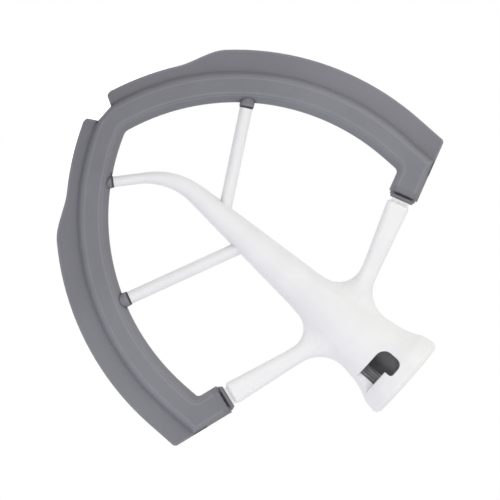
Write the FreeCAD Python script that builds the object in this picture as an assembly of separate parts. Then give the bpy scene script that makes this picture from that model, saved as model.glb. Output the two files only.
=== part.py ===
import FreeCAD, Part
import math
import os

# Flat beater of a stand mixer: a stiff white frame, a grey flexible edge moulded round its rail,
# and a metal bush in the hub that takes the drive shaft and its cross pin.
# Driving dimensions are in millimetres and degrees. The part is drawn from the hub's rim, with Z up
# the drive axis, X across the two wings and the bayonet window facing -Y. Depths count down from the rim.

# Hub and spine, turned about the drive axis
rim_radius = 18.3
rim_bevel_wide = 2.0
rim_bevel_narrow = 0.6
collar_draft = 0.8
collar_depth = 7.2
collar_round = 7.0
waist_radius = 13.75
waist_depth = 17.6
spine_top_radius = 8.5
spine_top_depth = 55.5
spine_low_radius = 4.03
spine_low_depth = 112.0

# Foot of the spine, which bends across to the right wing
bend_round = 28.0
tip_radius = 2.15
tip_slope = 41.5

# Arms, which droop from the hub to the two sleeves
arm_axis_depth = 33.1
arm_slope = 17.4
arm_root_height = 7.1
arm_end_height = 9.4
arm_end_drop = 0.35
arm_thickness = 8.0
arm_corner_round = 2.4
arm_taper_reach = 27.0
arm_end_reach = 53.4
arm_shoulder = 0.9
arm_top_blend = 13.0
arm_low_blend = 8.5

# Rail of the frame, buried in the flexible edge
rail_width = 5.0
rail_thickness = 5.4
neck_height = 7.2

# Struts, from the spine to the rail
right_strut_depth = 83.4
right_strut_slope = 24.1
left_strut_depth = 98.2
left_strut_slope = 29.6
strut_radius = 2.6

# Flexible edge: two wings that meet at the foot
wing_half_gap = 60.4
wing_straight_depth = 65.8
wing_radius = 89.5
apex_round = 4.0
body_width = 13.05
body_thickness = 9.0
body_inner_bevel = 3.1
body_outer_bevel = 2.6
foot_bevel = 1.0
body_edge_break = 0.7
foot_trim = 2.65
lip_wide = 8.0
lip_narrow = 3.95
lip_thickness = 2.6
lip_corner_round = 1.8
lip_step_start = 43.5
lip_step_end = 54.0
lip_foot_trim = 2.65
notch_half_width = 3.9
notch_half_mouth = 6.2
sleeve_height = 12.2
sleeve_end_reach = 56.7
sleeve_bevel = 1.7
sleeve_corner_round = 2.0
mouth_bevel = 0.5
mouth_groove_width = 0.6
mouth_groove_depth = 0.7
mouth_ring_length = 1.4
mouth_ring_height = 10.8
mouth_ring_thickness = 7.4
mouth_ring_taper = 0.8
mouth_ring_round = 1.8
strut_boss_length = 2.3
tip_boss_length = 1.0
boss_wall = 0.35
boss_end_wall = 0.1
boss_taper_length = 1.0

# Drive bush and its bayonet
shaft_diameter = 12.7
shaft_clearance = 0.15
bore_depth = 30.0
bush_recess = 0.6
bush_lead_in = 0.6
bush_head_radius = 12.3
bush_head_depth = 18.6
bush_shank_radius = 9.2
bush_floor = 2.0
pin_diameter = 6.5
pin_clearance = 0.3
pin_reach = 9.8
pin_entry_angle = 40.0
hook_top_depth = 6.2
hook_round = 3.0
hook_corner_round = 1.4
entry_low_depth = 16.5
entry_round = 4.2
window_right = 15.0
window_floor = 5.4
window_ledge = 7.0

# How near to a corner or a face an edge counts as lying on it
match_slack = 0.02

# Sizes that follow from the ones above
collar_radius = rim_radius - collar_draft
bore_radius = shaft_diameter / 2 + shaft_clearance
bore_start = bush_recess + bush_lead_in
slot_width = pin_diameter + 2 * pin_clearance
entry_top_depth = entry_low_depth - slot_width
arm_tilt = math.radians(arm_slope)
wing_centre_x = wing_half_gap - wing_radius


def wings_meet_depth(offset):
    """Where the two wings' rounds cross, at an offset outward from their inner edges."""
    return wing_straight_depth + math.sqrt((wing_radius + offset) ** 2 - wing_centre_x ** 2)


foot_depth = wings_meet_depth(body_width) - foot_trim
lip_foot_depth = wings_meet_depth(body_width + lip_narrow) - lip_foot_trim


def at(x, depth, y=0.0):
    """A point given across the beater and down from the rim."""
    return FreeCAD.Vector(x, y, -depth)


def line(start, end):
    return Part.LineSegment(start, end).toShape()


def tangent_arc(start, heading, end):
    """The arc that leaves start along a heading and finishes at end."""
    chord = end - start
    side = heading.cross(chord).cross(heading)
    side.normalize()
    radius = chord.Length ** 2 / (2 * chord.dot(side))
    centre = start + side * radius
    middle_way = (start + end) * 0.5 - centre
    middle_way.normalize()
    return Part.Arc(start, centre + middle_way * radius, end).toShape()


def rounding_arc(curve, corner, run_end, radius):
    """The arc that rounds the corner between a curve and the straight run after it, with its two ends."""
    centre = curve.Curve.Center
    curve_radius = curve.Curve.Radius
    run_way = run_end - corner
    run_way.normalize()
    aside = centre - corner
    aside = aside - run_way * aside.dot(run_way)
    aside.normalize()
    bend = math.copysign(radius, curve.tangentAt(curve.LastParameter).dot(aside))
    beside = corner - aside * bend
    reach = curve_radius + bend
    along = (beside - centre).dot(run_way)
    gap = (beside - centre).Length ** 2 - reach ** 2
    travel = math.sqrt(along ** 2 - gap) - along
    middle = beside + run_way * travel
    run_start = corner + run_way * travel
    curve_end = centre + (middle - centre) * (curve_radius / reach)
    middle_way = (run_start + curve_end) * 0.5 - middle
    middle_way.normalize()
    arc = Part.Arc(run_start, middle + middle_way * radius, curve_end).toShape()
    return arc, run_start, curve_end


def mirrored(shape):
    return shape.mirror(at(0, 0), FreeCAD.Vector(1, 0, 0))


def arm_axes():
    """Unit steps out along the right arm and up across it."""
    along = FreeCAD.Vector(math.cos(arm_tilt), 0, -math.sin(arm_tilt))
    across = FreeCAD.Vector(math.sin(arm_tilt), 0, math.cos(arm_tilt))
    return along, across


def arm_point(reach, rise=0.0):
    """A point beside the right arm's axis, by its distance out along that axis."""
    along, across = arm_axes()
    return at(0, arm_axis_depth) + along * reach + across * rise


def arm_rise(point):
    """Height of a point above the axis of the arm on its own side."""
    across = arm_axes()[1]
    return (at(abs(point.x), -point.z) - at(0, arm_axis_depth)).dot(across)


def wing_point(offset, degrees):
    """A point on the right wing's round, at an offset outward from its inner edge."""
    turn = math.radians(degrees)
    reach = wing_radius + offset
    return at(wing_centre_x + reach * math.cos(turn), wing_straight_depth + reach * math.sin(turn))


def wing_angle_at_depth(offset, depth):
    return math.degrees(math.asin((depth - wing_straight_depth) / (wing_radius + offset)))


def wing_arc(offset, start, end):
    middle = wing_point(offset, (start + end) / 2)
    return Part.Arc(wing_point(offset, start), middle, wing_point(offset, end)).toShape()


def wing_crossing(start, heading, offset, side):
    """Where a straight run from inside the edge meets a wing's round, at an offset from its inner edge."""
    from_centre = start - at(side * wing_centre_x, wing_straight_depth)
    along = from_centre.dot(heading)
    gap = from_centre.Length ** 2 - (wing_radius + offset) ** 2
    return start + heading * (math.sqrt(along ** 2 - gap) - along)


def sleeve_edge_depth(x, rise):
    """Depth of a line that runs along the sleeve at a height above the arm's axis."""
    return arm_axis_depth + x * math.tan(arm_tilt) - rise / math.cos(arm_tilt)


def rod(start, end, radius):
    run = end - start
    return Part.makeCylinder(radius, run.Length, start, run)


def hub_and_spine():
    """The turned middle: broken rim, drafted and rounded collar, throat, and the long tapering spine."""
    rim_start = at(rim_radius - rim_bevel_wide, 0)
    rim_middle = at(rim_radius - rim_bevel_narrow, rim_bevel_narrow)
    rim_end = at(rim_radius, rim_bevel_wide)
    collar_end = at(collar_radius, collar_depth)
    waist = at(waist_radius, waist_depth)
    spine_top = at(spine_top_radius, spine_top_depth)
    spine_low = at(spine_low_radius, spine_low_depth)
    throat = tangent_arc(waist, waist - spine_top, collar_end)
    collar_arc, collar_low, throat_high = rounding_arc(throat, collar_end, rim_end, collar_round)
    profile = Part.Wire(
        [
            line(at(0, 0), rim_start),
            line(rim_start, rim_middle),
            line(rim_middle, rim_end),
            line(rim_end, collar_low),
            collar_arc,
            tangent_arc(waist, waist - spine_top, throat_high),
            line(waist, spine_top),
            line(spine_top, spine_low),
            line(spine_low, at(0, spine_low_depth)),
            line(at(0, spine_low_depth), at(0, 0)),
        ]
    )
    profile.rotate(at(0, 0), FreeCAD.Vector(0, 0, 1), 90)
    return Part.Face(profile).revolve(at(0, 0), FreeCAD.Vector(0, 0, 1), 360)


def bar_section(reach, height, thickness, corner_round, drop=0.0):
    """A rounded rectangle across the right arm, whose middle may hang a little below the arm's axis."""
    half_height = height / 2
    half_thickness = thickness / 2
    flat_height = half_height - corner_round
    flat_thickness = half_thickness - corner_round
    slant = corner_round * math.sqrt(0.5)

    def point(rise, y):
        return arm_point(reach, rise - drop) + FreeCAD.Vector(0, y, 0)

    def corner(up, out):
        start = point(up * half_height, out * flat_thickness)
        middle = point(up * (flat_height + slant), out * (flat_thickness + slant))
        end = point(up * flat_height, out * half_thickness)
        return Part.Arc(start, middle, end).toShape()

    edges = [corner(up, out) for up in (1, -1) for out in (1, -1)]
    for side in (1, -1):
        rise = side * half_height
        y = side * half_thickness
        edges.append(line(point(rise, -flat_thickness), point(rise, flat_thickness)))
        edges.append(line(point(-flat_height, y), point(flat_height, y)))
    return Part.Wire(Part.__sortEdges__(edges))


def arm():
    """The right arm: a plain bar out of the hub, a widening one, and a chamfered outer end."""
    bar_end = arm_end_reach - arm_shoulder
    along = arm_axes()[0]
    root = bar_section(0, arm_root_height, arm_thickness, arm_corner_round)
    plain = Part.Face(root).extrude(along * arm_taper_reach)
    sections = [
        bar_section(arm_taper_reach, arm_root_height, arm_thickness, arm_corner_round),
        bar_section(bar_end, arm_end_height, arm_thickness, arm_corner_round, arm_end_drop),
        bar_section(arm_end_reach, arm_end_height - 2 * arm_shoulder, arm_thickness - 2 * arm_shoulder,
                    arm_corner_round - arm_shoulder, arm_end_drop),
    ]
    return plain.fuse(Part.makeLoft(sections, True, True))


def blend_at(rise):
    """Radius of the blend between hub and arm, which is large above the arm and smaller below it."""
    share = 0.5 + rise / arm_root_height
    return arm_low_blend + (arm_top_blend - arm_low_blend) * min(max(share, 0), 1)


def yoke():
    """Hub, spine and both arms, with a rolling blend round the root of each arm."""
    middle = hub_and_spine()
    right_arm = arm()
    joined = middle.fuse([right_arm, mirrored(right_arm)])
    document = FreeCAD.newDocument("yoke")
    base = document.addObject("Part::Feature", "joined")
    base.Shape = joined
    blend = document.addObject("Part::Fillet", "blend")
    blend.Base = base
    blend.Edges = [
        (number, blend_at(arm_rise(edge.firstVertex().Point)), blend_at(arm_rise(edge.lastVertex().Point)))
        for number, edge in enumerate(joined.Edges, 1)
        if lies_between(edge, middle, right_arm)
    ]
    document.recompute()
    return blend.Shape


def lies_between(edge, middle, right_arm):
    """Whether an edge is where an arm's side comes out of the hub."""
    point = edge.valueAt((edge.FirstParameter + edge.LastParameter) / 2)
    right_side = Part.Vertex(FreeCAD.Vector(abs(point.x), point.y, point.z))
    on_middle = middle.Shells[0].distToShape(right_side)[0] < match_slack
    return on_middle and right_arm.Shells[0].distToShape(right_side)[0] < match_slack


def foot_path():
    """Sections down the spine's bent foot: the middle of each one, the way it faces and its radius."""
    turn = math.radians(90 - tip_slope)
    stations = []
    for share in (0, 0.5, 1):
        angle = turn * share
        x = bend_round * (1 - math.cos(angle))
        depth = spine_low_depth + bend_round * math.sin(angle)
        heading = FreeCAD.Vector(math.sin(angle), 0, -math.cos(angle))
        radius = spine_low_radius + (tip_radius - spine_low_radius) * share
        stations.append((at(x, depth), heading, radius))
    return stations


def spine_foot():
    """The spine's bent foot, tapering evenly to the bend's end, and the straight tip."""
    sections = [
        Part.Wire([Part.Circle(middle, heading, radius).toShape()])
        for middle, heading, radius in foot_path()
    ]
    stem_points = tip_stem()
    return [Part.makeLoft(sections, True), rod(stem_points[0], stem_points[-1], tip_radius)]


def band_outline(y, inner, outer, sleeve, mouth, foot):
    """Half of the band that runs from one sleeve, down the wing, to the middle of the foot.

    inner, outer, sleeve, mouth and foot say how far each side lies inside the moulded body's edge.
    """
    out = body_width - outer
    foot_level = foot_depth - foot
    foot_angle = wing_angle_at_depth(out, foot_level)
    foot_corner = wing_point(out, foot_angle)
    half_height = sleeve_height / 2 - sleeve
    side_x = wing_half_gap + out
    top_corner = at(side_x, sleeve_edge_depth(side_x, half_height))
    mouth_top = arm_point(sleeve_end_reach + mouth, half_height)
    mouth_low = arm_point(sleeve_end_reach + mouth, -half_height)

    inner_x = wing_half_gap + inner
    corner_round = sleeve_corner_round + sleeve
    corner_tilt = math.pi / 2 - arm_tilt
    corner = at(inner_x, sleeve_edge_depth(inner_x, -half_height))
    corner_reach = corner_round * math.tan(corner_tilt / 2)
    along = arm_axes()[0]
    corner_start = corner - along * corner_reach
    corner_end = corner + FreeCAD.Vector(0, 0, -corner_reach)

    round_here = apex_round + inner
    reach = wing_radius + inner
    round_drop = math.sqrt((reach - round_here) ** 2 - wing_centre_x ** 2)
    apex_angle = math.degrees(math.atan2(round_drop, -wing_centre_x))
    apex = at(0, wing_straight_depth + round_drop + round_here)
    apex_start = wing_point(inner, apex_angle)

    edges = [
        line(at(0, foot_level), foot_corner),
        wing_arc(out, foot_angle, 0),
        line(at(side_x, wing_straight_depth), top_corner),
        line(top_corner, mouth_top),
        line(mouth_top, mouth_low),
        line(mouth_low, corner_start),
        tangent_arc(corner_start, along, corner_end),
        line(corner_end, at(inner_x, wing_straight_depth)),
        wing_arc(inner, 0, apex_angle),
        tangent_arc(apex, FreeCAD.Vector(1, 0, 0), apex_start),
        line(apex, at(0, foot_level)),
    ]
    outline = Part.Wire(edges)
    outline.translate(FreeCAD.Vector(0, y, 0))
    return outline


def both_halves(half):
    return half.fuse(mirrored(half)).removeSplitter()


def rail():
    """The frame's buried rail, with the necks that carry it to the two arms."""
    side_cover = (body_width - rail_width) / 2
    neck_cover = (sleeve_height - neck_height) / 2
    neck_run = arm_end_reach - sleeve_end_reach - arm_shoulder
    outline = band_outline(-rail_thickness / 2, side_cover, side_cover, neck_cover, neck_run, side_cover)
    half = Part.Face(outline).extrude(FreeCAD.Vector(0, rail_thickness, 0))
    return both_halves(half)


def stem(start, heading, side, boss_length):
    """A straight stem into a wing: its start, the mouth of its boss, and its end in the rail."""
    inner_edge = wing_crossing(start, heading, 0, side)
    return start, inner_edge - heading * boss_length, wing_crossing(start, heading, body_width / 2, side)


def strut_stem(side, depth, slope):
    tilt = math.radians(slope)
    heading = FreeCAD.Vector(side * math.cos(tilt), 0, -math.sin(tilt))
    return stem(at(0, depth), heading, side, strut_boss_length)


def strut_stems():
    right = strut_stem(1, right_strut_depth, right_strut_slope)
    left = strut_stem(-1, left_strut_depth, left_strut_slope)
    return [right, left]


def tip_stem():
    bend_end, heading = foot_path()[-1][:2]
    return stem(bend_end, heading, 1, tip_boss_length)


def boss(stem_points, stem_radius):
    """The short collar of the flexible edge round a stem: a tapered mouth and a plain run into the body."""
    mouth, end = stem_points[1:]
    heading = end - mouth
    heading.normalize()
    wide = stem_radius + boss_wall
    plain_start = mouth + heading * boss_taper_length
    taper = Part.makeCone(stem_radius + boss_end_wall, wide, boss_taper_length, mouth, heading)
    return taper.fuse(rod(plain_start, end, wide))


def window(floor):
    """The bayonet window, down to a floor: the pin comes in right, turns left and lifts into the hook."""
    half_slot = slot_width / 2
    front = -(rim_radius + rim_bevel_wide)

    def point(x, depth):
        return at(x, depth, front)

    right = FreeCAD.Vector(1, 0, 0)
    up = FreeCAD.Vector(0, 0, 1)
    low_left = point(entry_round - half_slot, entry_low_depth)
    side_low = point(-half_slot, entry_low_depth - entry_round)
    hook_start = point(-half_slot, hook_top_depth + hook_round)
    hook_end = point(hook_round - half_slot, hook_top_depth)
    corner_start = point(half_slot - hook_corner_round, hook_top_depth)
    corner_end = point(half_slot, hook_top_depth + hook_corner_round)
    inner_corner = point(half_slot, entry_top_depth)
    high_right = point(window_right, entry_top_depth)
    low_right = point(window_right, entry_low_depth)
    outline = Part.Wire(
        [
            line(side_low, hook_start),
            tangent_arc(hook_start, up, hook_end),
            line(hook_end, corner_start),
            tangent_arc(corner_start, right, corner_end),
            line(corner_end, inner_corner),
            line(inner_corner, high_right),
            line(high_right, low_right),
            line(low_right, low_left),
            tangent_arc(low_left, -right, side_low),
        ]
    )
    return Part.Face(outline).extrude(FreeCAD.Vector(0, -front - floor, 0))


def bush_envelope():
    """The space the bush fills in the hub: a stepped plug below the recessed face."""
    floor_depth = bore_start + bore_depth + bush_floor
    head = Part.makeCylinder(bush_head_radius, bush_head_depth - bush_recess, at(0, bush_head_depth))
    shank = Part.makeCylinder(bush_shank_radius, floor_depth - bush_head_depth, at(0, floor_depth))
    return head.fuse(shank).removeSplitter()


def drive_bush():
    """The metal bush, with the blind bore, the pin's entry groove and the bayonet window."""
    bore = Part.makeCylinder(bore_radius, bore_depth, at(0, bore_start + bore_depth))
    lead_in = Part.makeCone(bore_radius, bore_radius + bush_lead_in, bush_lead_in, at(0, bore_start))
    groove_length = entry_low_depth - bush_recess
    groove_corner = at(-slot_width / 2, entry_low_depth, -pin_reach)
    groove = Part.makeBox(slot_width, pin_reach, groove_length, groove_corner)
    groove.rotate(at(0, 0), FreeCAD.Vector(0, 0, 1), pin_entry_angle)
    return bush_envelope().cut([bore, lead_in, groove, window(window_floor)])


def beater_frame():
    """The white one-piece frame: hub, spine, arms, struts and the buried rail."""
    pieces = [rail()] + spine_foot()
    for stem_points in strut_stems():
        pieces.append(rod(stem_points[0], stem_points[-1], strut_radius))
    frame = yoke().fuse(pieces)
    mouth = Part.makeCylinder(bush_head_radius, bush_recess, at(0, bush_recess))
    return frame.cut([bush_envelope(), mouth, window(window_ledge)])


def lip():
    """Half of the thin scraping lip, wide down the wing and narrow past the wave to the foot."""
    wide = body_width + lip_wide
    narrow = body_width + lip_narrow
    inside = body_width / 2
    half_height = sleeve_height / 2
    side_x = wing_half_gap + wide
    inner_x = wing_half_gap + inside
    top_corner = at(side_x, sleeve_edge_depth(side_x, half_height))
    top_inner = at(inner_x, sleeve_edge_depth(inner_x, half_height))
    foot_angle = wing_angle_at_depth(narrow, lip_foot_depth)
    inner_foot_angle = wing_angle_at_depth(inside, foot_depth - inside)
    start_turn = math.radians(lip_step_start)
    end_turn = math.radians(lip_step_end)
    wave = Part.BSplineCurve()
    wave.interpolate(
        Points=[wing_point(wide, lip_step_start), wing_point(narrow, lip_step_end)],
        InitialTangent=FreeCAD.Vector(-math.sin(start_turn), 0, -math.cos(start_turn)),
        FinalTangent=FreeCAD.Vector(-math.sin(end_turn), 0, -math.cos(end_turn)),
    )
    foot_corner = wing_point(narrow, foot_angle)
    notch_low = at(notch_half_mouth, lip_foot_depth)
    notch_high = at(notch_half_width, foot_depth)
    notch_inner = at(notch_half_width, foot_depth - inside)
    inner_foot = wing_point(inside, inner_foot_angle)
    outline = Part.Wire(
        [
            line(top_inner, top_corner),
            line(top_corner, at(side_x, wing_straight_depth)),
            wing_arc(wide, 0, lip_step_start),
            wave.toShape(),
            wing_arc(narrow, lip_step_end, foot_angle),
            line(foot_corner, notch_low),
            line(notch_low, notch_high),
            line(notch_high, notch_inner),
            line(notch_inner, inner_foot),
            wing_arc(inside, inner_foot_angle, 0),
            line(at(inner_x, wing_straight_depth), top_inner),
        ]
    )
    outline.translate(FreeCAD.Vector(0, -lip_thickness / 2, 0))
    plate = Part.Face(outline).extrude(FreeCAD.Vector(0, lip_thickness, 0))
    outer_corners = [top_corner, notch_low, foot_corner]
    corner_edges = [
        edge
        for edge in plate.Edges
        if any(edge.distToShape(Part.Vertex(corner))[0] < match_slack for corner in outer_corners)
        and edge.BoundBox.XLength < match_slack
        and edge.BoundBox.ZLength < match_slack
    ]
    return plate.makeFillet(lip_corner_round, corner_edges)


def edge_body():
    """The thick moulded body of the flexible edge: widest at its middle plane, with broken front edges."""
    face_level = body_thickness / 2
    shoulder_level = face_level - body_edge_break
    shoulder = shoulder_level / face_level
    bevels = [body_inner_bevel, body_outer_bevel, sleeve_bevel, mouth_bevel, foot_bevel]
    levels = [
        band_outline(0, 0, 0, 0, 0, 0),
        band_outline(-shoulder_level, *[bevel * shoulder for bevel in bevels]),
        band_outline(-face_level, *[bevel + body_edge_break for bevel in bevels]),
    ]
    front = Part.makeLoft(levels, True, True)
    back = front.mirror(at(0, 0), FreeCAD.Vector(0, 1, 0))
    return both_halves(front.fuse(back).removeSplitter())


def bar(start_reach, end_reach, height, thickness, corner_round, taper=0.0):
    """A straight piece along the arm's axis, which may narrow by a taper on every side."""
    sections = [
        bar_section(start_reach, height, thickness, corner_round),
        bar_section(end_reach, height - 2 * taper, thickness - 2 * taper, corner_round - taper),
    ]
    return Part.makeLoft(sections, True, True)


def mouth_ring():
    """The tapered ring at a sleeve's mouth, and the core of the groove that sets it off from the sleeve."""
    ring_reach = sleeve_end_reach - mouth_groove_width
    core_thickness = mouth_ring_thickness - 2 * mouth_groove_depth
    core_end = sleeve_end_reach + mouth_bevel + body_edge_break
    core_round = mouth_ring_round - mouth_groove_depth
    ring_end = ring_reach - mouth_ring_length
    core = bar(core_end, ring_reach, mouth_ring_height, core_thickness, core_round)
    ring = bar(
        ring_reach, ring_end, mouth_ring_height, mouth_ring_thickness, mouth_ring_round, mouth_ring_taper
    )
    return core.fuse(ring)


def flex_edge(frame):
    """The grey moulded edge, formed round the frame that it grips."""
    half_lip = lip()
    ring = mouth_ring()
    pieces = [half_lip, mirrored(half_lip), ring, mirrored(ring)]
    pieces += [boss(stem_points, strut_radius) for stem_points in strut_stems()]
    pieces.append(boss(tip_stem(), tip_radius))
    return edge_body().fuse(pieces).cut(frame)


def main():
    os.makedirs("parts", exist_ok=True)
    frame = beater_frame()
    nodes = {"beater_frame": frame, "flex_edge": flex_edge(frame), "drive_bush": drive_bush()}
    for name, shape in nodes.items():
        print(name, "solids", len(shape.Solids), "valid", shape.isValid(), "volume", round(shape.Volume))
        shape = shape.removeSplitter()
        shape.translate(FreeCAD.Vector(0, 0, bore_start))
        shape.exportStep("parts/" + name + ".step")


main()
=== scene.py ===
# %% [markdown]
# # A flat beater for a stand mixer
# The beater is three pieces that never come apart: a stiff white frame, a grey flexible edge that is
# moulded round the frame's rail, and a dark bush in the hub that takes the drive shaft. Their solids
# arrive ready made, at real size and in metres, so this lesson adds only what the eye needs: a camera,
# soft light, a pale floor, and a finish for each piece that holds up close to.

# %% Load the solids
import math

import bpy
from mathutils import Matrix, Vector


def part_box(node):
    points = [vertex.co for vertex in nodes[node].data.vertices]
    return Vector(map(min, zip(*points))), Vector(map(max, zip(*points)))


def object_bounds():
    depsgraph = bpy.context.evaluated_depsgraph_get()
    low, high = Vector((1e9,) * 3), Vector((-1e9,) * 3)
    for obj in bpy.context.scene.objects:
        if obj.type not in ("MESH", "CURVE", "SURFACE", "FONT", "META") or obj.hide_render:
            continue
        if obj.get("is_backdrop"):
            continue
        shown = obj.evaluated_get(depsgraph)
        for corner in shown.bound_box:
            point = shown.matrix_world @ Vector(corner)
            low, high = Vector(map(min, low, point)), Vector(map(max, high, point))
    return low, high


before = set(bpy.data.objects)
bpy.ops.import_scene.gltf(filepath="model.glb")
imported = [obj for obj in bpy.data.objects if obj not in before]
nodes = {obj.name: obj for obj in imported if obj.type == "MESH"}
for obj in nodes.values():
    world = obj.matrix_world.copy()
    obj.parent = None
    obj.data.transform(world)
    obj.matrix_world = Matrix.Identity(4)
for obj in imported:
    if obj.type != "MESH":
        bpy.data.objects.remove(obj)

MM = 0.001
cad_low, cad_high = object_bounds()
for name in sorted(nodes):
    low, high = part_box(name)
    print(name, "measures", [round(side / MM, 1) for side in high - low], "mm")

# %% [markdown]
# ## Camera
# The picture looks square onto the flat of the beater, with the hub's mouth turned down to the right. A
# camera could be aimed with a tracking constraint, but a constraint keeps the horizon level, and here the
# horizon is rolled. So the camera's own axes are written out: where right, up and back point in the part's
# frame. A long lens from more than two metres away keeps the two wings the same size, as they are in the
# picture.

# %% Camera
picture_width = 200 * MM
camera_distance = 2200 * MM
picture_centre = Vector((2.56, 0, -80.5)) * MM
hub_droop = math.radians(41.37)
sensor_width = 36
nearest_seen = 10 * MM
furthest_seen = 20

right = Vector((-math.sin(hub_droop), 0, math.cos(hub_droop)))
up = Vector((-math.cos(hub_droop), 0, -math.sin(hub_droop)))
back = right.cross(up)

lens = bpy.data.cameras.new("beater_camera")
lens.sensor_width = sensor_width
lens.lens = sensor_width * camera_distance / picture_width
lens.clip_start = nearest_seen
lens.clip_end = furthest_seen
camera = bpy.data.objects.new("beater_camera", lens)
bpy.context.scene.collection.objects.link(camera)
turn = Matrix((right, up, back)).transposed().to_4x4()
camera.matrix_world = Matrix.Translation(picture_centre + back * camera_distance) @ turn
bpy.context.scene.camera = camera
bpy.context.scene.view_settings.view_transform = "Standard"
print("camera lens", round(lens.lens), "mm, looking along", [round(-side, 2) for side in back])

# %% [markdown]
# ## Small helpers for shader nodes
# Every finish below is a graph of nodes, and a graph is mostly "add a node, set a few sockets, join two
# sockets". These helpers keep each material short enough to read as a recipe. A group's inputs are named
# in words, so a value is handed to it with an underscore for each space.


# %% Node helpers
def add_node(tree, kind, **settings):
    node = tree.nodes.new(kind)
    for name, value in settings.items():
        setattr(node, name, value)
    return node


def join(tree, source, target):
    tree.links.new(source, target)


def new_material(name):
    material = bpy.data.materials.new(name)
    material.use_nodes = True
    material.node_tree.nodes.clear()
    return material, material.node_tree


def new_group(name, inputs, outputs):
    """An empty shader group: float inputs with their defaults, and named outputs of a socket kind."""
    group = bpy.data.node_groups.new(name, "ShaderNodeTree")
    for title, value in inputs.items():
        socket = group.interface.new_socket(title, in_out="INPUT", socket_type="NodeSocketFloat")
        socket.default_value = value
    for title, kind in outputs.items():
        group.interface.new_socket(title, in_out="OUTPUT", socket_type=kind)
    return group, group.nodes.new("NodeGroupInput"), group.nodes.new("NodeGroupOutput")


def place_group(tree, group, **values):
    node = add_node(tree, "ShaderNodeGroup", node_tree=group)
    for title, value in values.items():
        node.inputs[title.replace("_", " ")].default_value = value
    return node


def ramp(tree, value, start, end, smooth=True):
    """A mask that is zero where a value is at its start and one where it is at its end."""
    kind = "SMOOTHSTEP" if smooth else "LINEAR"
    mask = add_node(tree, "ShaderNodeMapRange", interpolation_type=kind)
    mask.inputs["From Min"].default_value = start
    mask.inputs["From Max"].default_value = end
    join(tree, value, mask.inputs["Value"])
    return mask.outputs["Result"]


def combine(tree, operation, first, second):
    """Two values joined by one step of arithmetic. The second is a socket or a plain number."""
    step = add_node(tree, "ShaderNodeMath", operation=operation)
    join(tree, first, step.inputs[0])
    if isinstance(second, (int, float)):
        step.inputs[1].default_value = second
    else:
        join(tree, second, step.inputs[1])
    return step.outputs[0]


def vector_step(tree, operation, first, second=None):
    """A step of vector arithmetic. The second vector is a constant, and some steps need none."""
    step = add_node(tree, "ShaderNodeVectorMath", operation=operation)
    join(tree, first, step.inputs[0])
    if second is not None:
        step.inputs[1].default_value = second
    return step.outputs["Value" if operation in ("LENGTH", "DOT_PRODUCT") else "Vector"]


def blend_colours(tree, mask, first, second, blend="MIX"):
    mix = add_node(tree, "ShaderNodeMix", data_type="RGBA", blend_type=blend)
    join(tree, mask, mix.inputs["Factor"])
    for socket, colour in ((mix.inputs["A"], first), (mix.inputs["B"], second)):
        if isinstance(colour, tuple):
            socket.default_value = colour
        else:
            join(tree, colour, socket)
    return mix.outputs["Result"]


helpers = (add_node, join, new_material, new_group, place_group, ramp, combine, vector_step, blend_colours)
print("helpers:", ", ".join(helper.__name__ for helper in helpers))

# %% [markdown]
# ## Background
# The beater stands in a white void. The void could simply be lit white, but then the white plastic would
# dissolve into it. So it is white only for the camera and for reflections. As a light it is brightest from
# the top of the picture and falls off, a little towards violet, to the picture's foot: that difference
# models the round spine. The mask for what is seen comes from the Light Path node, and the floor uses it
# again.


# %% World
def seen_mask(tree):
    """One for rays from the camera, a reflection or a refraction, and zero for plain lighting rays."""
    path = add_node(tree, "ShaderNodeLightPath")
    direct = combine(tree, "MAXIMUM", path.outputs["Is Camera Ray"], path.outputs["Is Glossy Ray"])
    return combine(tree, "MAXIMUM", direct, path.outputs["Is Transmission Ray"])


white = (1, 1, 1, 1)
bright_side = (1.0, 1.0, 0.965, 1)
dim_side = (0.77, 0.762, 0.81, 1)
dim_way = Vector((0.75, 0, 0.66))

world = bpy.data.worlds.new("white_void")
world.use_nodes = True
bpy.context.scene.world = world
tree = world.node_tree
tree.nodes.clear()
way = add_node(tree, "ShaderNodeTexCoord").outputs["Generated"]
dimness = ramp(tree, vector_step(tree, "DOT_PRODUCT", way, dim_way), start=-1, end=1, smooth=False)
lighting = add_node(tree, "ShaderNodeBackground")
join(tree, blend_colours(tree, dimness, bright_side, dim_side), lighting.inputs["Color"])
backdrop = add_node(tree, "ShaderNodeBackground")
backdrop.inputs["Color"].default_value = white
choose = add_node(tree, "ShaderNodeMixShader")
output = add_node(tree, "ShaderNodeOutputWorld")
join(tree, seen_mask(tree), choose.inputs["Fac"])
join(tree, lighting.outputs[0], choose.inputs[1])
join(tree, backdrop.outputs[0], choose.inputs[2])
join(tree, choose.outputs[0], output.inputs["Surface"])
print("world lights from", bright_side[:3], "down to", dim_side[:3], "and shows as white")

# %% [markdown]
# ## Floor
# The floor is a pale disc under the beater's lowest point. A plane would do, but a disc fades out evenly
# to all sides, so no edge of it shows. It has a little glow of its own: where the lamps reach it, it clips
# to white, and where the beater shades it, a soft shadow stays.

# %% Floor disc
floor_radius = 600 * MM
floor_corners = 96

bpy.ops.mesh.primitive_circle_add(vertices=floor_corners, radius=floor_radius, fill_type="NGON",
                                  location=(0, 0, cad_low.z))
floor = bpy.context.object
floor.name = "floor"
floor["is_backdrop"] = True
print("floor lies at", round(cad_low.z / MM, 1), "mm")

# %% Floor finish
floor_fade_start = 120 * MM
floor_fade_end = 420 * MM
floor_glow = 0.7
floor_grey = (0.84, 0.84, 0.85, 1)

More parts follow.
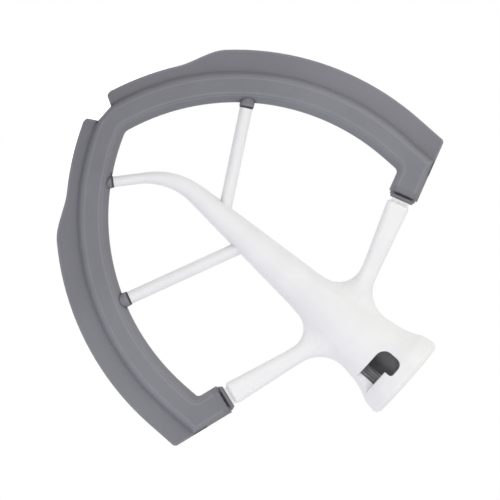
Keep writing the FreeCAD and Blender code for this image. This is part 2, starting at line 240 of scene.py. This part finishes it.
material, tree = new_material("pale_floor")
floor.data.materials.append(material)
place = add_node(tree, "ShaderNodeTexCoord").outputs["Object"]
fade = ramp(tree, vector_step(tree, "LENGTH", place), floor_fade_start, floor_fade_end)
paint = add_node(tree, "ShaderNodeBsdfDiffuse")
paint.inputs["Color"].default_value = floor_grey
glow = add_node(tree, "ShaderNodeEmission")
glow.inputs["Color"].default_value = white
glow.inputs["Strength"].default_value = floor_glow
near = add_node(tree, "ShaderNodeAddShader")
void = add_node(tree, "ShaderNodeEmission")
void.inputs["Color"].default_value = white
faded = add_node(tree, "ShaderNodeMixShader")
choose = add_node(tree, "ShaderNodeMixShader")
output = add_node(tree, "ShaderNodeOutputMaterial")
join(tree, paint.outputs[0], near.inputs[0])
join(tree, glow.outputs[0], near.inputs[1])
join(tree, fade, faded.inputs["Fac"])
join(tree, near.outputs[0], faded.inputs[1])
join(tree, void.outputs[0], faded.inputs[2])
join(tree, seen_mask(tree), choose.inputs["Fac"])
join(tree, paint.outputs[0], choose.inputs[1])
join(tree, faded.outputs[0], choose.inputs[2])
join(tree, choose.outputs[0], output.inputs["Surface"])
print("floor wears", material.name, "and fades out at", round(floor_fade_end / MM), "mm")

# %% [markdown]
# ## Lamps
# Most of the light is the void's own, so the lamps only add direction: a slightly warm one from the side
# of the left wing, a plain one from the front, and a cool one from the right. Point lamps would throw hard
# shadows. Large area lamps give soft light: the larger the lamp, the softer the edge of a shadow. Each is
# aimed at the middle of the beater by turning its -Z to it.

# %% Lamps
warm_tint = (1.0, 0.985, 0.925)
plain_tint = (1.0, 1.0, 1.0)
cool_tint = (0.90, 0.88, 1.0)
beater_middle = (cad_low + cad_high) / 2


def add_lamp(name, direction, distance, size, power, tint):
    lamp = bpy.data.lights.new(name, "AREA")
    lamp.shape = "DISK"
    lamp.size = size
    lamp.energy = power
    lamp.color = tint
    holder = bpy.data.objects.new(name, lamp)
    bpy.context.scene.collection.objects.link(holder)
    way = Vector(direction).normalized()
    holder.location = beater_middle + way * distance
    holder.rotation_euler = (-way).to_track_quat("-Z", "Y").to_euler()
    print(name, "shines", power, "W from", [round(side, 2) for side in way])


add_lamp("key_lamp", (-1.0, -0.75, 0.2), distance=0.9, size=0.5, power=1.4, tint=warm_tint)
add_lamp("front_lamp", (-0.1, -1.0, 0.05), distance=1.1, size=0.7, power=1.65, tint=plain_tint)
add_lamp("cool_lamp", (1.0, -0.5, 0.1), distance=1.0, size=0.6, power=1.8, tint=cool_tint)

# %% [markdown]
# ## Effects that the finishes share
# Moulded plastic, moulded rubber and cast metal have the same two habits. Their skin copies the fine grain
# of the mould, and their edges are never knife sharp. Both effects are node groups, built once and placed
# in each finish with its own values, so that a change here reaches every piece. The grain is two sizes of
# noise: a fine one that becomes bump, and a broad one that shifts colour and gloss.

# %% Moulded grain group
mottle_low = 0.3
mottle_high = 0.7

grain, entry, leave = new_group(
    "moulded_grain",
    {"Grain Size": 0.4 * MM, "Mottle Size": 20 * MM},
    {"Height": "NodeSocketFloat", "Mottle": "NodeSocketFloat"},
)


def noise_of_size(tree, place, size, detail, roughness):
    """Noise whose bumps are about as wide as a size in metres."""
    scale = add_node(tree, "ShaderNodeMath", operation="DIVIDE")
    scale.inputs[0].default_value = 1
    noise = add_node(tree, "ShaderNodeTexNoise")
    noise.inputs["Detail"].default_value = detail
    noise.inputs["Roughness"].default_value = roughness
    join(tree, size, scale.inputs[1])
    join(tree, scale.outputs[0], noise.inputs["Scale"])
    join(tree, place, noise.inputs["Vector"])
    return noise.outputs["Fac"]


place = add_node(grain, "ShaderNodeTexCoord").outputs["Object"]
fine = noise_of_size(grain, place, entry.outputs["Grain Size"], detail=2, roughness=0.6)
broad = noise_of_size(grain, place, entry.outputs["Mottle Size"], detail=3, roughness=0.55)
join(grain, fine, leave.inputs["Height"])
join(grain, ramp(grain, broad, mottle_low, mottle_high, smooth=False), leave.inputs["Mottle"])
print("group", grain.name, "has", len(grain.nodes), "nodes")

# %% [markdown]
# The edge group looks a short way round each point for a neighbouring face. It gives back a normal that is
# rounded over the edge, so that sharp solids catch a thin highlight as moulded ones do, and two masks: one
# for the outer edges, where the finishes paint a highlight, and one for the inner corners, where they
# paint shade.
# A bevel modifier could round the mesh itself, but the solids stay as they were packed. The occlusion node
# tells the two masks apart: it finds how much of the sky above a point is shut off by the piece itself.

# %% Soft edge group
ray_count = 8
flat_likeness = 0.9998
bent_likeness = 0.98
open_sky = 0.97
shut_corner_sky = 0.58
shut_edge_sky = 0.8

soft_edge, entry, leave = new_group(
    "soft_edge",
    {"Radius": 0.6 * MM, "Corner Reach": 2 * MM},
    {"Normal": "NodeSocketVector", "Edge": "NodeSocketFloat", "Corner": "NodeSocketFloat"},
)
rounded = add_node(soft_edge, "ShaderNodeBevel", samples=ray_count)
surface = add_node(soft_edge, "ShaderNodeNewGeometry")
likeness = add_node(soft_edge, "ShaderNodeVectorMath", operation="DOT_PRODUCT")
shut_off = add_node(soft_edge, "ShaderNodeAmbientOcclusion", samples=ray_count, only_local=True)
join(soft_edge, entry.outputs["Radius"], rounded.inputs["Radius"])
join(soft_edge, rounded.outputs["Normal"], likeness.inputs[0])
join(soft_edge, surface.outputs["Normal"], likeness.inputs[1])
join(soft_edge, entry.outputs["Corner Reach"], shut_off.inputs["Distance"])
bent = ramp(soft_edge, likeness.outputs["Value"], flat_likeness, bent_likeness)
in_corner = ramp(soft_edge, shut_off.outputs["AO"], open_sky, shut_corner_sky)
in_the_open = ramp(soft_edge, shut_off.outputs["AO"], shut_edge_sky, open_sky)
join(soft_edge, rounded.outputs["Normal"], leave.inputs["Normal"])
join(soft_edge, combine(soft_edge, "MULTIPLY", bent, in_the_open), leave.inputs["Edge"])
join(soft_edge, in_corner, leave.inputs["Corner"])
print("group", soft_edge.name, "has", len(soft_edge.nodes), "nodes")

# %% [markdown]
# ## One recipe for three finishes
# Each finish is the same recipe with other values: blend colours by masks, spread the roughness, and lay
# the grain as bump over the rounded normal. One group could hold the whole recipe, but the shader has to
# stay in the material itself, where what is the same all over, such as the specular level, is set on the
# shader's own socket. So the recipe's steps are functions.


# %% Steps of the recipe
def part_of(tree, mask, share):
    """A mask turned down to a share of itself."""
    return combine(tree, "MULTIPLY", mask, share)


def spread_between(tree, mask, low, high):
    """A value that is low where a mask is zero and high where it is one."""
    spread = add_node(tree, "ShaderNodeMapRange")
    spread.inputs["To Min"].default_value = low
    spread.inputs["To Max"].default_value = high
    join(tree, mask, spread.inputs["Value"])
    return spread.outputs["Result"]


def bump_over(tree, height, normal, depth, strength):
    bump = add_node(tree, "ShaderNodeBump")
    bump.inputs["Distance"].default_value = depth
    bump.inputs["Strength"].default_value = strength
    join(tree, height, bump.inputs["Height"])
    join(tree, normal, bump.inputs["Normal"])
    return bump.outputs["Normal"]


def finish_material(tree, colour, roughness, normal, specular, metallic=0.0):
    surface = add_node(tree, "ShaderNodeBsdfPrincipled")
    surface.inputs["Specular IOR Level"].default_value = specular
    surface.inputs["Metallic"].default_value = metallic
    output = add_node(tree, "ShaderNodeOutputMaterial")
    join(tree, colour, surface.inputs["Base Color"])
    join(tree, roughness, surface.inputs["Roughness"])
    join(tree, normal, surface.inputs["Normal"])
    join(tree, surface.outputs[0], output.inputs["Surface"])


def dress(node_name, material):
    """Gives a solid one finish in place of the plain one that it was packed with."""
    mesh = nodes[node_name].data
    mesh.materials.clear()
    mesh.materials.append(material)
    print(node_name, "wears", material.name, "with", len(material.node_tree.nodes), "nodes")


steps = (part_of, spread_between, bump_over, finish_material, dress)
print("steps of a finish:", ", ".join(step.__name__ for step in steps))

# %% [markdown]
# ## White frame
# The frame is moulded in white glass-filled nylon: satin and very slightly uneven. A faint painted
# highlight lightens its edges. Pure white would leave no room for light, so the colour stays under nine
# tenths and the broad mottle moves it by a hair. Where two faces meet inwards, round the window and at the
# arms' shoulders, painted shade dulls it a little.

# %% White frame
white_low = (0.742, 0.742, 0.738, 1)
white_high = (0.785, 0.785, 0.778, 1)
# Painted highlight for the edges, then painted shade for inward corners and how much of it is laid on
white_edge_glint = (0.83, 0.83, 0.825, 1)
white_corner_shade = (0.60, 0.60, 0.61, 1)
white_corner_shade_share = 0.7

material, tree = new_material("white_nylon")
skin = place_group(tree, grain, Grain_Size=0.45 * MM, Mottle_Size=14 * MM)
edges = place_group(tree, soft_edge, Radius=0.7 * MM, Corner_Reach=4 * MM)
colour = blend_colours(tree, skin.outputs["Mottle"], white_low, white_high)
# Painted highlight: the edges are lightened in colour
colour = blend_colours(tree, edges.outputs["Edge"], colour, white_edge_glint)
# Painted shade: inward corners are darkened in colour
in_corner = part_of(tree, edges.outputs["Corner"], white_corner_shade_share)
colour = blend_colours(tree, in_corner, colour, white_corner_shade)
roughness = spread_between(tree, skin.outputs["Mottle"], low=0.36, high=0.46)
normal = bump_over(tree, skin.outputs["Height"], edges.outputs["Normal"], depth=0.02 * MM, strength=0.35)
finish_material(tree, colour, roughness, normal, specular=0.45)
dress("beater_frame", material)

# %% [markdown]
# ## Grey flexible edge
# The edge is a soft grey elastomer with a matte skin. Three of its tones belong to a place on it. The lip
# is thin and scrapes along the bowl, which leaves it a hair darker than the body: its mask is the distance
# from the beater's middle plane. The ends of each wing, at the sleeve and at the foot, are a shade darker
# than its middle: there the mask is the distance in Z. Painted vertices could hold both, but masks made
# from places need no seam and no fine mesh.

# %% Tones along the wings
lip_half = 1.35 * MM
lip_fade = 2.2 * MM
wing_middle_z = -85 * MM
pale_half = 15 * MM
shaded_half = 42 * MM


def lip_mask(tree, sides):
    from_plane = add_node(tree, "ShaderNodeMath", operation="ABSOLUTE")
    join(tree, sides.outputs["Y"], from_plane.inputs[0])
    return ramp(tree, from_plane.outputs[0], lip_fade, lip_half)


def wing_end_mask(tree, sides):
    from_middle = add_node(tree, "ShaderNodeMath", operation="ABSOLUTE")
    join(tree, combine(tree, "SUBTRACT", sides.outputs["Z"], wing_middle_z), from_middle.inputs[0])
    return ramp(tree, from_middle.outputs[0], pale_half, shaded_half)


print("lip tone within", round(lip_half / MM, 2), "mm of the middle plane, wings fully shaded from",
      round(shaded_half / MM), "mm off their middle")

# %% [markdown]
# The third tone is at the five mouths, where arms, struts and the spine's foot go in, and it is painted
# shade. The sleeves round the arms are a shade darker at their ends, and the three small bosses have a
# nearly black rim, where shade falls into the slit. A mouth's mask is what lies near its middle and no
# deeper than its depth, counted along the piece that goes in. All five mouths share one function.

# %% Tones at the mouths
# Painted shade for the sleeve mouths and the boss rims, and how much of it is laid on
grey_ring_shade = (0.160, 0.162, 0.178, 1)
grey_rim_shade = (0.042, 0.043, 0.047, 1)
mouth_shade_share = 0.85
mouth_fade = 0.5 * MM
# Each mouth: its colour, its X and Z, the slope in degrees of what goes in, its reach and its depth, in mm
mouths = (
    (grey_ring_shade, -53.4, -48.6, 17.4, 9.0, 3.2),
    (grey_ring_shade, 53.4, -48.6, 17.4, 9.0, 3.2),
    (grey_rim_shade, -39.0, -119.1, 29.6, 4.6, 0.7),
    (grey_rim_shade, 48.7, -104.0, 24.1, 4.6, 0.7),
    (grey_rim_shade, 18.2, -139.5, 41.5, 4.2, 0.6),
)


def mouth_mask(tree, place, x, z, slope, reach, depth):
    tilt = math.radians(slope)
    way_out = Vector((-math.copysign(math.cos(tilt), x), 0, math.sin(tilt)))
    offset = vector_step(tree, "SUBTRACT", place, Vector((x, 0, z)) * MM)
    near = ramp(tree, vector_step(tree, "LENGTH", offset), reach * MM, reach * MM - mouth_fade)
    outward = vector_step(tree, "DOT_PRODUCT", offset, way_out)
    shallow = ramp(tree, outward, -depth * MM - mouth_fade, -depth * MM)
    return combine(tree, "MULTIPLY", near, shallow)


print(len(mouths), "mouths, the deepest tone", max(mouth[-1] for mouth in mouths), "mm deep")

# %% [markdown]
# The mould's fine grain scatters the light, so the elastomer has a broad dull sheen and no mirror in it.
# Along the edges a painted highlight makes it a little paler, and in the corner between lip and body
# painted shade keeps it darker.

# %% Grey flexible edge
grey_low = (0.184, 0.186, 0.205, 1)
grey_high = (0.203, 0.205, 0.226, 1)
grey_lip = (0.188, 0.190, 0.209, 1)
# Painted highlight for the edges and painted shade for corners, with their shares below
grey_edge_highlight = (0.345, 0.347, 0.372, 1)
grey_corner_shade = (0.070, 0.071, 0.078, 1)
end_shade = (0.885, 0.885, 0.885, 1)
grey_edge_highlight_share = 0.3
grey_corner_shade_share = 0.9

material, tree = new_material("grey_elastomer")
skin = place_group(tree, grain, Grain_Size=0.3 * MM, Mottle_Size=9 * MM)
edges = place_group(tree, soft_edge, Radius=1.5 * MM)
place = add_node(tree, "ShaderNodeTexCoord").outputs["Object"]
sides = add_node(tree, "ShaderNodeSeparateXYZ")
join(tree, place, sides.inputs[0])
colour = blend_colours(tree, skin.outputs["Mottle"], grey_low, grey_high)
colour = blend_colours(tree, lip_mask(tree, sides), colour, grey_lip)
colour = blend_colours(tree, wing_end_mask(tree, sides), colour, end_shade, blend="MULTIPLY")
# Painted highlight: the edges are lightened in colour
edge_highlight_mask = part_of(tree, edges.outputs["Edge"], grey_edge_highlight_share)
colour = blend_colours(tree, edge_highlight_mask, colour, grey_edge_highlight)
# Painted shade: corners and creases are darkened in colour
in_corner = part_of(tree, edges.outputs["Corner"], grey_corner_shade_share)
colour = blend_colours(tree, in_corner, colour, grey_corner_shade)
# Painted shade at the five mouths: sleeve ends and boss rims are darkened in colour
for mouth_colour, *mouth in mouths:
    at_mouth = part_of(tree, mouth_mask(tree, place, *mouth), mouth_shade_share)
    colour = blend_colours(tree, at_mouth, colour, mouth_colour)
roughness = spread_between(tree, skin.outputs["Mottle"], low=0.56, high=0.68)
normal = bump_over(tree, skin.outputs["Height"], edges.outputs["Normal"], depth=0.03 * MM, strength=0.5)
finish_material(tree, colour, roughness, normal, specular=0.4)
dress("flex_edge", material)

# %% [markdown]
# ## Drive bush
# The bush in the hub is cast in metal and blackened, with a dull grain. Only the window and the mouth show
# it. Two places on it are brighter: the land at the window's entry, which the drive pin crosses each time
# the beater is locked and wears into fine lines, and the hook, where the pin rests while the beater turns,
# which is brightened by painted light. A second material on those faces would end in a hard line, so both
# places are cut out by a box with soft sides.

# %% Worn land and painted light on the hook
# Each place: the middle of its box, half its sides, and how far it fades out, in mm
land_box = ((8.2, -4, -11.5), (2.5, 12, 3.6), 0.4)
hook_box = ((-3.5, -4, -11), (0.5, 12, 2), 6)


def soft_box(tree, place, middle, half, fade):
    """One inside a box, fading to zero outside it."""
    offset = vector_step(tree, "SUBTRACT", place, Vector(middle) * MM)
    beyond = vector_step(tree, "SUBTRACT", vector_step(tree, "ABSOLUTE", offset), Vector(half) * MM)
    sides = add_node(tree, "ShaderNodeSeparateXYZ")
    join(tree, beyond, sides.inputs[0])
    wider = combine(tree, "MAXIMUM", sides.outputs["X"], sides.outputs["Y"])
    furthest = combine(tree, "MAXIMUM", wider, sides.outputs["Z"])
    return ramp(tree, furthest, fade * MM, 0)


print("land", [2 * side for side in land_box[1]], "mm and hook", [2 * side for side in hook_box[1]], "mm")

# %% [markdown]
# On the land the pin leaves fine lines along the drive axis. They are noise that is stretched along Z, in
# a pair of dark tones at the outer end and a pair of bright ones at the inner end. That change along the
# land is painted light: painted shade on the outer end, which the lamps reach, and painted light on the
# inner end, which lies in shade, so that the lines are brightest at the land's inner end.

# %% Pin lines
line_width = 0.4 * MM
line_length = 6 * MM
line_detail = 2
line_dark = 0.35
line_bright = 0.65
land_outer_x = 10.2 * MM
land_inner_x = 6.0 * MM
# Painted shade at the land's outer end and painted light at its inner end
land_outer = ((0.080, 0.080, 0.085, 1), (0.145, 0.145, 0.153, 1))
land_inner = ((0.31, 0.31, 0.326, 1), (0.64, 0.64, 0.672, 1))


def pin_lines(tree, place):
    stretch = Vector((1 / line_width, 1 / line_length, 1 / line_length))
    lines = add_node(tree, "ShaderNodeTexNoise")
    lines.inputs["Scale"].default_value = 1
    lines.inputs["Detail"].default_value = line_detail
    join(tree, vector_step(tree, "MULTIPLY", place, stretch), lines.inputs["Vector"])
    sides = add_node(tree, "ShaderNodeSeparateXYZ")
    join(tree, place, sides.inputs[0])
    bright = ramp(tree, lines.outputs["Fac"], line_dark, line_bright, smooth=False)
    inward = ramp(tree, sides.outputs["X"], land_outer_x, land_inner_x, smooth=False)
    outer_lines = blend_colours(tree, bright, *land_outer)
    inner_lines = blend_colours(tree, bright, *land_inner)
    return blend_colours(tree, inward, outer_lines, inner_lines)


print("pin lines are about", round(line_width / MM, 1), "mm wide and", round(line_length / MM), "mm long")

# %% [markdown]
# The blackened skin hides the metal, so the bush is painted as a dark dull solid with little metal in it.
# Its edges are lighter, partly worn metal and partly painted highlight, and so are the worn land and the
# hook under its painted light.

# %% Drive bush
cast_low = (0.15, 0.15, 0.159, 1)
cast_high = (0.20, 0.20, 0.211, 1)
# Edge colour, partly worn metal and partly painted highlight; the hook's painted light; the edge colour's
# share
cast_edge_wear_and_highlight = (0.34, 0.34, 0.355, 1)
cast_hook_light = (0.36, 0.36, 0.378, 1)
cast_edge_wear_and_highlight_share = 0.6

material, tree = new_material("dark_cast_metal")
skin = place_group(tree, grain, Grain_Size=0.6 * MM, Mottle_Size=4 * MM)
edges = place_group(tree, soft_edge, Radius=0.3 * MM)
place = add_node(tree, "ShaderNodeTexCoord").outputs["Object"]
colour = blend_colours(tree, skin.outputs["Mottle"], cast_low, cast_high)
# Painted light: the hook is brightened in colour
colour = blend_colours(tree, soft_box(tree, place, *hook_box), colour, cast_hook_light)
# The worn land with its pin lines; their change from dark to bright along the land is painted light
colour = blend_colours(tree, soft_box(tree, place, *land_box), colour, pin_lines(tree, place))
# The edges are lightened in colour: partly worn metal, partly painted highlight
edge_highlight_mask = part_of(tree, edges.outputs["Edge"], cast_edge_wear_and_highlight_share)
colour = blend_colours(tree, edge_highlight_mask, colour, cast_edge_wear_and_highlight)
roughness = spread_between(tree, skin.outputs["Height"], low=0.42, high=0.62)
normal = bump_over(tree, skin.outputs["Height"], edges.outputs["Normal"], depth=0.05 * MM, strength=0.6)
finish_material(tree, colour, roughness, normal, specular=0.5, metallic=0.15)
dress("drive_bush", material)

# %% [markdown]
# ## Check the size and finish
# Dressing a solid must not change how large it is, so the box of what shows is held against the box of
# the solids, and how much it grew is printed.

# %% Sizes and finish
seen_low, seen_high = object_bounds()
growth = (seen_high - seen_low) - (cad_high - cad_low)
print("visual box grew by", [round(side / MM, 3) for side in growth], "mm")
